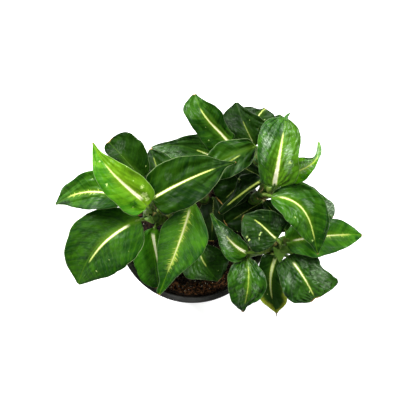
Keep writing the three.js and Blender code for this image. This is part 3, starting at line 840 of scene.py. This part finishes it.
# %% Undersides and stalks
def underside_finish(shade):
    """The lower face: paler and duller than the upper one, and palest on the keel."""
    material, tree, shader = new_finish(f"{shade}_underside", {"Specular IOR Level": 0.35})
    greens = GREENS[shade]
    _, across, _ = parts(tree, carried(tree, "blade", 1))
    cloud = noise(tree, here(tree), 60.0, 3.0)
    keel = across.size().step(1.9, 1.2)
    colour = blend(cloud.step(0.3, 0.7), greens["light"], greens["halo"])
    colour = blend(0.35 * (1 - keel), colour, paint(140, 165, 120))
    colour = blend(keel, colour, paint(176, 196, 120))
    feed(tree, shader, Base_Color=colour, Roughness=0.55 + (cloud - 0.5) * 0.2)
    return material


def stalk_finish(name, dark, light, foot):
    """Green in soft clouds from dark to light, turning to the foot's colour near the cane."""
    material, tree, shader = new_finish(name, {"Specular IOR Level": 0.3})
    cloud = noise(tree, here(tree), 220.0, 3.0)
    colour = blend(cloud.step(0.35, 0.65), dark, light)
    colour = blend(carried(tree, "stalk").step(0.45, 0.0) * 0.6, colour, foot)
    feed(tree, shader, Base_Color=colour, Roughness=0.42 + (cloud - 0.5) * 0.2)
    return material


UNDERSIDES = {shade: underside_finish(shade) for shade in GREENS}
STALK = stalk_finish("stalk", paint(62, 96, 22), paint(100, 130, 40), paint(132, 146, 70))
SHEATH = stalk_finish("sheath", paint(76, 120, 30), paint(128, 164, 66), paint(104, 148, 50))
print("finishes:", [finish.name for finish in (*UNDERSIDES.values(), STALK, SHEATH)])

# %% [markdown]
# ## From layers to a piece
# A leaf, a cane and the soil are each made of several closed layers, such as a blade and its
# stalk. Joined into one mesh they stay one piece, which can be moved or recoloured as a whole,
# and each face still says which finish it wears. What a finish has to know about a point, such as
# how far along the blade it lies, the mesh carries as an attribute.

# %% Layers, pieces and what points carry
def join(layers):
    """One list of points and one of faces from several, and the number of the point that each
    layer starts at: the faces of a layer count on from the points before it."""
    starts = np.cumsum([0, *(len(points) for points, _ in layers)]).tolist()
    faces = [[corner + start for corner in face]
             for (_, layer_faces), start in zip(layers, starts) for face in layer_faces]
    return np.concatenate([points for points, _ in layers]), faces, starts


def add(name, data):
    """A new object in the scene, at the origin."""
    made = bpy.data.objects.new(name, data)
    bpy.context.scene.collection.objects.link(made)
    return made


def make_piece(name, points, faces, kinds, finishes):
    """A smooth piece from points in millimetres and a list of faces; kinds gives each face the
    number of its finish."""
    mesh = bpy.data.meshes.new(f"{name}_grown")
    mesh.from_pydata((np.asarray(points) * MM).tolist(), [], faces)
    mesh.polygons.foreach_set("use_smooth", np.full(len(faces), True))
    mesh.polygons.foreach_set("material_index", np.asarray(kinds, np.int32))
    for finish in finishes:
        mesh.materials.append(finish)
    mesh.update()
    piece = add(f"{name}_grown", mesh)
    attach(piece, "root")
    return piece


def carry(piece, name, values):
    """Gives every point of a piece a number, or three, that its finish can read."""
    kind, key = (("FLOAT", "value"), ("FLOAT_VECTOR", "vector"))[np.ndim(values) - 1]
    piece.data.attributes.new(name, kind, "POINT").data.foreach_set(key, np.ravel(values))


print("two layers of one face each start at points", join([([0, 1, 2], [[0, 1, 2]])] * 2)[2][:2])

# %% [markdown]
# ## Leaf by leaf
# A leaf is one mesh with three finishes: upper face, lower face and stalk. Some tips are drawn out
# into a soft point that bends away from the midrib, which the blade's outline can't follow, so a
# thin flat tube is joined on there. Each leaf carries its own numbers for the finish and takes
# the place of the fixed leaf of its name.

# %% Make the leaves
def spike_mesh(leaf):
    """The drawn-out end of a tip: a thin closed tube from just inside the tip to the offset that
    the leaf's look gives, curved away from the line of the midrib."""
    tip = np.array(leaf["tip"], float)
    forward = blade_directions(leaf, np.array([0.97]))[0][0]
    end = tip + np.array(leaf["spike"], float)
    reach = np.linalg.norm(end - tip)
    path = bezier([tip - 2.5 * forward, tip + 0.5 * reach * forward, end], np.linspace(0, 1, 14))
    radius = leaf["spike_half"] * np.linspace(1, 0.02, len(path))**0.7
    return tube(path, np.cross(forward, [0.0, 0.0, 1.0]), radius, 0.35 * radius, 8)


def make_leaf(name, leaf, controls, seed):
    """One leaf: blade, stalk and spike as one piece, with its upper face, lower face and stalk
    finishes. Points of the stalk and the spike carry the numbers of plain green near the tip."""
    blade, under, place = blade_mesh(leaf, seed)
    stalk, share = stalk_mesh(leaf, controls)
    layers = [blade, stalk] + ([spike_mesh(leaf)] if leaf["spike"] else [])
    points, faces, starts = join(layers)
    kinds = np.zeros(len(faces))
    kinds[:len(under)] = under
    kinds[len(under):len(under) + len(stalk[1])] = 2
    finishes = (leaf_finish(name, leaf, seed), UNDERSIDES[leaf["shade"]], STALK)
    piece = make_piece(name, points, faces, kinds, finishes)
    values = np.tile([chord_length(leaf) - 0.5 * leaf["brown"], 9.0, 9.0], (len(points), 1))
    values[:starts[1]] = place
    carry(piece, "blade", values)
    shares = np.ones(len(points))
    shares[starts[1]:starts[2]] = share
    carry(piece, "stalk", shares)
    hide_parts(name)


seed = 0
for cane_name, rows in LEAVES.items():
    controls = cane_path(CANES[cane_name])
    for number, row in enumerate(rows, start=1):
        seed += 1
        name = f"{cane_name}_leaf_{number}"
        make_leaf(name, {**row, **LOOK, **LOOKS.get(name, {})}, controls, seed)
print("leaves made:", seed)

# %% [markdown]
# ## The canes
# The canes are bare stems: green above, with a thin tan ring wherever an old leaf has dropped. A
# ring is a slight swelling, so the tube's radius rises and falls along its path, and the finish
# reads the same millimetres to put its colour on the ring. They start under the soil and end in
# a rounded node. Dried strips of old sheaths stand round the crown, and some crowns have young
# pale sheaths that stand out from it: both are flat tubes, a few for each cane.

# %% Stems, dried strips and young sheaths
RING_SPACING = 9.0
STEM_RINGS, STRIP_RINGS, LOBE_RINGS = 180, 10, 20


def cane_mesh(controls):
    """Points and faces of one stem, and its millimetres along: a tube with a swelling at each
    ring, and a top that rounds in over its last rings."""
    path = bezier(controls, np.linspace(0, 1, STEM_RINGS))
    along = distances(path)
    ring = np.exp(-(((along % RING_SPACING) - RING_SPACING / 2) / 0.8)**2)
    dome = np.sqrt(np.clip(1 - np.clip(1 - (along[-1] - along) / 3.5, 0, 0.96)**2, 0, 1))
    radius = CANE_RADIUS * (0.94 + 0.07 * ring) * dome
    return tube(path, [0.0, 1.0, 0.0], radius, radius, CANE_SIDES), np.repeat(along, CANE_SIDES)


def husk_mesh(rng, controls, turn):
    """One dried strip: a flat tube that starts on the cane's skin a little under the crown,
    climbs along it and flares out."""
    joint, axis = at_height(controls, controls[-1][2] - rng.uniform(3, 12))
    side = unit(np.cross(axis, [0.0, 1.0, 0.0]))
    out = side * np.cos(turn) + np.cross(axis, side) * np.sin(turn)
    climb, flare = rng.uniform(5, 9), rng.uniform(1, 6)
    t = np.linspace(0, 1, STRIP_RINGS)
    path = bezier([joint + out * (CANE_RADIUS - 0.6), joint + out * CANE_RADIUS + axis * climb,
                   joint + out * (CANE_RADIUS + flare) + axis * (climb + 2)], t)
    wide = rng.uniform(1.2, 2.6) * (1 - t**3) + 0.15
    return tube(path, np.cross(axis, out), wide, 0.2, 8)


def lobe_mesh(start, end, half):
    """One young sheath: a closed strap that bends from the cane's axis out to its end, widest
    before its middle and pointed at the end."""
    start, end = np.array(start, float), np.array(end, float)
    t = np.linspace(0, 1, LOBE_RINGS)
    path = bezier([start, start + [0, 0, 0.8 * np.linalg.norm(end - start)], end], t)
    wide = half * np.sin(np.pi * np.clip(0.12 + 0.88 * t, 0, 1))**0.7 + 0.2
    return tube(path, np.cross(end - start, [0.0, 0.0, 1.0]), wide, 0.5, 12)


print("points of one young sheath:", len(lobe_mesh((0, 0, 0), (5, 0, 8), 4.0)[0]))

# %% Make the canes
def husk_finish():
    """Straw and brown, with dark torn patches."""
    material, tree, shader = new_finish("husk", {"Specular IOR Level": 0.2})
    cloud = noise(tree, here(tree), 260.0, 4.0, 0.65)
    colour = blend(cloud.step(0.35, 0.6), paint(52, 44, 22), paint(138, 130, 70))
    feed(tree, shader, Base_Color=colour, Roughness=0.7 + cloud * 0.2)
    return material


def cane_finish():
    """Green stem with tan rings and brown specks; its old lower part has turned brown."""
    material, tree, shader = new_finish("cane_skin", {"Specular IOR Level": 0.2})
    place, along = here(tree), carried(tree, "stem")
    ring = (along * (2 * np.pi / RING_SPACING)).wave().step(-0.86, -0.99)
    cloud = noise(tree, place, 160.0, 4.0)
    specks = noise(tree, place, 900.0, 1.0).step(0.68, 0.75)
    colour = blend(cloud.step(0.35, 0.65), paint(30, 66, 8), paint(78, 116, 26))
    colour = blend((along + (cloud - 0.5) * 20.0).step(58.0, 42.0), colour, paint(44, 38, 20))
    colour = blend(specks * 0.6, colour, paint(96, 74, 44))
    colour = blend(ring * 0.5, colour, paint(98, 88, 52))
    bump = bumps(tree, 0.4, 0.0004, cloud - ring * 0.5)
    feed(tree, shader, Base_Color=colour, Normal=bump, Roughness=0.5 + ring * 0.3)
    return material


STRIP_SEED = 11
HUSKS = {"left": 2, "middle": 0, "back": 2, "right": 12, "front": 6}
LOBES = {
    "left": [((-42, 5, 168), (-41, 12, 182), 4.5), ((-44, 4, 168), (-36, -4, 176), 3.5)],
    "right": [((72, 30, 160), (79, 34, 172), 4.0), ((72, 28, 160), (70, 38, 172), 2.5)],
    "front": [((86, -20, 146), (98, -30, 153), 6.5), ((86, -20, 146), (81, -33, 152), 6.0),
              ((86, -20, 148), (90, -13, 158), 5.0), ((85, -20, 146), (76, -14, 152), 4.5),
              ((86, -22, 146), (85, -38, 150), 6.0)],
}
finishes = (cane_finish(), husk_finish(), SHEATH)
rng = np.random.default_rng(STRIP_SEED)
for cane_name, cane in CANES.items():
    controls = cane_path(cane)
    stem, along = cane_mesh(controls)
    turns = rng.uniform(0, 2 * np.pi, HUSKS[cane_name])
    husks = [husk_mesh(rng, controls, turn) for turn in turns]
    lobes = [lobe_mesh(*lobe) for lobe in LOBES.get(cane_name, [])]
    points, faces, _ = join([stem, *husks, *lobes])
    kinds = np.repeat([0] + [1] * len(husks) + [2] * len(lobes),
                      [len(layer_faces) for _, layer_faces in (stem, *husks, *lobes)])
    piece = make_piece(f"{cane_name}_cane", points, faces, kinds, finishes)
    carry(piece, "stem", np.pad(along, (0, len(points) - len(along))))
    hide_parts(f"{cane_name}_cane")
print("canes made:", len(CANES), "- strips:", sum(HUSKS.values()))

# %% [markdown]
# ## The soil
# Potting soil is a crumbly top over a solid body. The body is one closed grid turned about the
# pot's axis; its top is raised by the same slow waves as the fixed part and roughened with finer
# ones. On it lie crumbs, coir fibres and a few pale grains, each a few faces copied many times
# with numpy: particles would give the same look, but they don't survive an export. The earth has
# painted shade: darker in the middle round the canes, where the leaves shade it, and in a ring
# along the wall, in the shadow of the rim.

# %% Body of the soil
def pot_inside(z):
    """Inner radius of the pot wall at height z, a straight taper."""
    bottom, top = POT["foot_radius"] - POT["wall"], POT["rim_radius"] - POT["rim_width"]
    return bottom + (top - bottom) * z / POT["height"]


SOIL_EDGE = pot_inside(SOIL["top"]) - 0.3
SOIL_RINGS, SOIL_SIDES = 90, 180


def soil_height(x, y):
    """Top + rise towards the middle + slow lumps + fine roughness, all sums of sine waves."""
    share = np.hypot(x, y) / SOIL_EDGE
    slow = SOIL["lumps"] * np.sin(0.31 * x + 0.13 * y) * np.cos(0.27 * y - 0.09 * x)
    fine = 0.5 * np.sin(1.7 * x + 0.6 * y) * np.sin(1.4 * y - 0.5 * x) + 0.3 * np.sin(3.1 * x)
    return SOIL["top"] + SOIL["rise"] * (1 - share) + slow + fine * np.clip(6 - 6 * share, 0, 1)


def soil_body():
    """Points and faces: bottom, wall and top as one grid of rings."""
    bottom = POT["floor"] + 0.3
    radius = np.concatenate([[0.4, pot_inside(bottom) - 0.4, SOIL_EDGE],
                             SOIL_EDGE * np.linspace(0.995, 0.004, SOIL_RINGS)])
    turn = np.linspace(0, 2 * np.pi, SOIL_SIDES, endpoint=False)
    x, y = radius[:, None] * np.cos(turn), radius[:, None] * np.sin(turn)
    z = soil_height(x, y)
    z[:3] = np.array([bottom, bottom, SOIL["top"] - 1.5])[:, None]
    return np.stack([x, y, z], axis=-1).reshape(-1, 3), tube_faces(len(radius), SOIL_SIDES)


print("soil: radius", round(SOIL_EDGE, 1), "mm, top", SOIL["top"], "mm above the floor")

# %% Crumbs and fibres
OCTAHEDRON = np.array([[1, 0, 0], [0, 1, 0], [-1, 0, 0], [0, -1, 0], [0, 0, 1], [0, 0, -1.0]])
OCTAHEDRON_FACES = np.array([[0, 1, 4], [1, 2, 4], [2, 3, 4], [3, 0, 4],
                             [1, 0, 5], [2, 1, 5], [3, 2, 5], [0, 3, 5]])
FIBRE_RINGS = 9


def scatter(rng, count):
    """Even random places on the soil's top."""
    radius = (SOIL_EDGE - 2) * np.sqrt(rng.random(count))
    turn = rng.uniform(0, 2 * np.pi, count)
    return radius * np.cos(turn), radius * np.sin(turn)


def crumbs(rng, count, small, large):
    """Many uneven eight-sided lumps, half sunk: corner * size * random stretch + place."""
    x, y = scatter(rng, count)
    size = rng.uniform(small, large, count) * rng.uniform(0.6, 1, count)
    shape = OCTAHEDRON * rng.uniform(0.6, 1.3, (count, 6, 1))
    turn = rng.uniform(0, 2 * np.pi, count)[:, None]
    flat = np.stack([shape[..., 0] * np.cos(turn) - shape[..., 1] * np.sin(turn),
                     shape[..., 0] * np.sin(turn) + shape[..., 1] * np.cos(turn),
                     shape[..., 2] * 0.8], axis=-1)
    place = np.stack([x, y, soil_height(x, y) + 0.2 * size], axis=-1)
    points = flat * size[:, None, None] + place[:, None]
    faces = OCTAHEDRON_FACES + 6 * np.arange(count)[:, None, None]
    return points.reshape(-1, 3), faces.reshape(-1, 3).tolist()


def fibres(rng, count, rings):
    """Curved three-sided threads that lie on the soil: heading + bend * t, followed point by
    point."""
    x, y = scatter(rng, count)
    t = np.linspace(-0.5, 0.5, rings)
    length = rng.uniform(5, 22, count)[:, None]
    heading = rng.uniform(0, 2 * np.pi, count)[:, None] + rng.uniform(-1.6, 1.6, (count, 1)) * t
    px = x[:, None] + length * np.cumsum(np.cos(heading), axis=1) / rings
    py = y[:, None] + length * np.cumsum(np.sin(heading), axis=1) / rings
    shrink = np.minimum(1, (SOIL_EDGE - 1.5) / np.hypot(px, py))
    px, py = px * shrink, py * shrink
    pz = soil_height(px, py) + 0.6 + rng.uniform(0, 1.2, (count, 1)) * (1 - 4 * t**2)
    centre = np.stack([px, py, pz], axis=-1)
    side = np.stack([-np.sin(heading), np.cos(heading), 0 * heading], axis=-1)
    angle = np.linspace(0, 2 * np.pi, 3, endpoint=False)
    thick = rng.uniform(0.12, 0.3, (count, 1, 1, 1)) * (1 - 3 * t[:, None, None]**2)
    around = (side[:, :, None] * np.cos(angle)[:, None]
              + np.array([0, 0, 1.0]) * np.sin(angle)[:, None])
    points = centre[:, :, None] + around * thick
    faces = [[corner + 3 * rings * fibre for corner in face]
             for fibre in range(count) for face in tube_faces(rings, 3)]
    return points.reshape(-1, 3), faces


print("faces of a crumb:", len(OCTAHEDRON_FACES), "- of a fibre:", len(tube_faces(FIBRE_RINGS, 3)))

# %% Make the soil
def crumb_finish(name, dark, light, scale, painted_shade_depth=0.85):
    """Rough matt earth in two colours, with painted shade as deep as soak: darker in the middle round
    the canes, where the leaves shade it, and in a ring along the wall, in the shadow of the rim."""
    material, tree, shader = new_finish(name, {"Specular IOR Level": 0.25})
    place = here(tree)
    cloud = noise(tree, place, scale, 5.0, 0.65)
    x, y, _ = parts(tree, place)
    radius = (x * x + y * y)**0.5
    # Painted shade: the middle under the leaves and a ring in the rim's shadow.
    painted_shade = (radius + (cloud - 0.5) * 0.02).step(0.062, 0.053) + radius.step(0.0635, 0.066)
    colour = blend(cloud.step(0.42, 0.66), dark, light)
    colour = blend(painted_shade * painted_shade_depth, colour, paint(10, 8, 6))
    feed(tree, shader, Base_Color=colour, Normal=bumps(tree, 0.7, 0.0008, cloud),
         Roughness=0.85 + cloud * 0.15)
    return material


SOIL_SEED = 5
CRUMBS, FIBRES, GRAINS = 2400, 260, 420
rng = np.random.default_rng(SOIL_SEED)
layers = [soil_body(), crumbs(rng, CRUMBS, 0.6, 2.2), fibres(rng, FIBRES, FIBRE_RINGS),
          crumbs(rng, GRAINS, 0.4, 1.1)]
points, faces, _ = join(layers)
kinds = np.repeat([0, 0, 1, 2], [len(layer_faces) for _, layer_faces in layers])
finishes = (crumb_finish("potting_soil", paint(24, 14, 8), paint(148, 98, 60), 380),
            crumb_finish("coir", paint(44, 30, 18), paint(84, 62, 38), 500),
            crumb_finish("perlite", paint(206, 196, 176), paint(244, 240, 230), 500, 0.2))
soil = make_piece("soil", points, faces, kinds, finishes)
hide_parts("soil")
print("soil faces:", len(faces))

# %% [markdown]
# ## The pot
# A nursery pot is blown or moulded in thin black plastic: a tapered wall, a rim band turned down
# outside, and a floor with drain holes. It is one closed profile turned about its axis, with a few
# more points at each corner than the fixed part so that edges catch light. The drain holes are
# cut by a Boolean that is applied straight away.

# %% Profile of the pot
def rounded(corners, radius, steps=5):
    """A profile with each inner corner replaced by a small Bezier arc that starts and ends a
    radius away from it."""
    corners = np.array(corners, float)
    line = [corners[:1]]
    for before, corner, after in zip(corners[:-2], corners[1:-1], corners[2:]):
        sides = before - corner, after - corner
        reach = min(radius, *(0.45 * np.linalg.norm(side) for side in sides))
        ends = [corner + unit(sides[0]) * reach, corner, corner + unit(sides[1]) * reach]
        line.append(bezier(ends, np.linspace(0, 1, steps)))
    return np.concatenate([*line, corners[-1:]])


def pot_profile():
    """Radius and height round the wall, from the middle of the underside to that of the floor."""
    height, rim, foot = POT["height"], POT["rim_radius"], POT["foot_radius"]
    under_rim = pot_inside(height - POT["rim_depth"]) + POT["wall"]
    corners = [(0.5, 0), (foot, 0), (under_rim, height - POT["rim_depth"]),
               (rim - 0.8, height - POT["rim_depth"]), (rim, height), (pot_inside(height), height),
               (pot_inside(POT["floor"]), POT["floor"]), (0.5, POT["floor"])]
    return rounded(corners, 1.4)


def pot_mesh(profile, sides):
    """Points and faces of a profile turned about the axis."""
    turn = np.linspace(0, 2 * np.pi, sides, endpoint=False)
    x, y = profile[:, :1] * np.cos(turn), profile[:, :1] * np.sin(turn)
    z = np.broadcast_to(profile[:, 1:], x.shape)
    return np.stack([x, y, z], axis=-1).reshape(-1, 3), tube_faces(len(profile), sides)


print("points of the pot's profile:", len(pot_profile()))

# %% Make the pot
def pot_finish():
    """Satin black plastic with grey scuffs and streaks round it, a dull wall, and painted sheen
    that makes the top of the rim lighter grey.
    """
    material, tree, shader = new_finish("pot_plastic", {"Specular IOR Level": 0.35})
    place = here(tree)
    x, y, z = parts(tree, place)
    rim = z.step(0.1225, 0.1248)
    scuffs = noise(tree, place, 90.0, 6.0, 0.7, 1.2)
    streaks = noise(tree, vector(tree, x * 40.0, y * 40.0, z * 900.0), 3.0, 4.0, 0.7)
    colour = blend(scuffs.step(0.4, 0.7), paint(14, 14, 13), paint(32, 32, 30))
    # Painted sheen: the flat top of the rim lighter grey where the light falls on it.
    colour = blend(rim * scuffs.step(0.3, 0.6), colour, paint(44, 44, 41))
    feed(tree, shader, Base_Color=colour, Normal=bumps(tree, 0.25, 0.0003, streaks),
         Roughness=0.38 + scuffs * 0.25)
    return material


def drain_cutter():
    """Short upright tubes on the drain circle, as one object."""
    mesh = bpy.data.meshes.new("drain_cutter")
    shape = bmesh.new()
    circle, radius = POT["drain_circle"] * MM, POT["drain_radius"] * MM
    for turn in np.arange(POT["drain_holes"]) * 2 * np.pi / POT["drain_holes"]:
        made = bmesh.ops.create_cone(shape, cap_ends=True, segments=24, depth=0.02,
                                     radius1=radius, radius2=radius)
        place = (circle * np.cos(turn), circle * np.sin(turn), 0)
        bmesh.ops.translate(shape, verts=made["verts"], vec=place)
    shape.to_mesh(mesh)
    shape.free()
    return add("drain_cutter", mesh)


POT_SIDES = 192
points, faces = pot_mesh(pot_profile(), POT_SIDES)
pot = make_piece("pot", points, faces, np.zeros(len(faces)), [pot_finish()])
cutter = drain_cutter()
holes = pot.modifiers.new("drain_holes", "BOOLEAN")
holes.operation, holes.object, holes.solver = "DIFFERENCE", cutter, "EXACT"
seen = pot.evaluated_get(bpy.context.evaluated_depsgraph_get())
drained = bpy.data.meshes.new_from_object(seen)
pot.modifiers.clear()
pot.data = drained
bpy.data.objects.remove(cutter)
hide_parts("pot")
print("pot faces:", len(pot.data.polygons))

# %% [markdown]
# ## Floor, light and camera
# The plant stands on a plain pale floor under soft light from the upper left, with a weaker light
# from the other side. The floor glows a little, so that it stays pale where the leaves shade it.

# %% Floor and light
FLOOR_HALF = 4
AIM = Vector((0.0, 0.0, 0.15))


def make_floor():
    """One flat square, each corner FLOOR_HALF metres out along x and y."""
    mesh = bpy.data.meshes.new("floor")
    corners = [(-1, -1, 0), (1, -1, 0), (1, 1, 0), (-1, 1, 0)]
    mesh.from_pydata((FLOOR_HALF * np.array(corners, float)).tolist(), [], [(0, 1, 2, 3)])
    material, _, _ = new_finish("pale_floor", {
        "Base Color": (0.85, 0.85, 0.85, 1), "Roughness": 0.9, "Specular IOR Level": 0.1,
        "Emission Color": (1, 1, 1, 1), "Emission Strength": 0.8})
    mesh.materials.append(material)
    floor = add("floor", mesh)


def add_softbox(name, place, size, watts):
    """A square area light at a place, turned to face the plant."""
    light = bpy.data.lights.new(name, "AREA")
    light.size, light.energy = size, watts
    box = add(name, light)
    box.location = place
    box.rotation_euler = (AIM - Vector(place)).to_track_quat("-Z", "Y").to_euler()


make_floor()
add_softbox("key", (-1.0, 1.1, 1.4), 1.0, 74.0)
add_softbox("fill", (0.9, 0.6, 1.5), 0.7, 30.0)
world = bpy.data.worlds.new("studio")
world.use_nodes = True
world.node_tree.nodes["Background"].inputs["Color"].default_value = (1.0, 1.0, 1.0, 1.0)
world.node_tree.nodes["Background"].inputs["Strength"].default_value = 0.19
bpy.context.scene.world = world
bpy.context.scene.view_settings.view_transform = "Standard"
print("lights:", [light.name for light in bpy.data.lights])

# %% [markdown]
# The camera looks almost straight down, ten degrees from upright, as one looks into a pot from
# above. It stands its distance from a point among the leaves, along the line of its elevation,
# and a long lens keeps the near leaves from looking large.

# %% Camera
ELEVATION = np.radians(80)
TARGET = np.array([0.0154, 0.0201, 0.125])
DISTANCE = 1.15
camera = bpy.data.cameras.new("camera")
camera.sensor_width, camera.lens = 36.0, 99.5
viewer = add("camera", camera)
viewer.location = TARGET + DISTANCE * np.array([0, -np.cos(ELEVATION), np.sin(ELEVATION)])
viewer.rotation_euler = (np.pi / 2 - ELEVATION, 0, 0)
bpy.context.scene.camera = viewer
print("camera height:", round(viewer.location.z, 3), "m")

# %% [markdown]
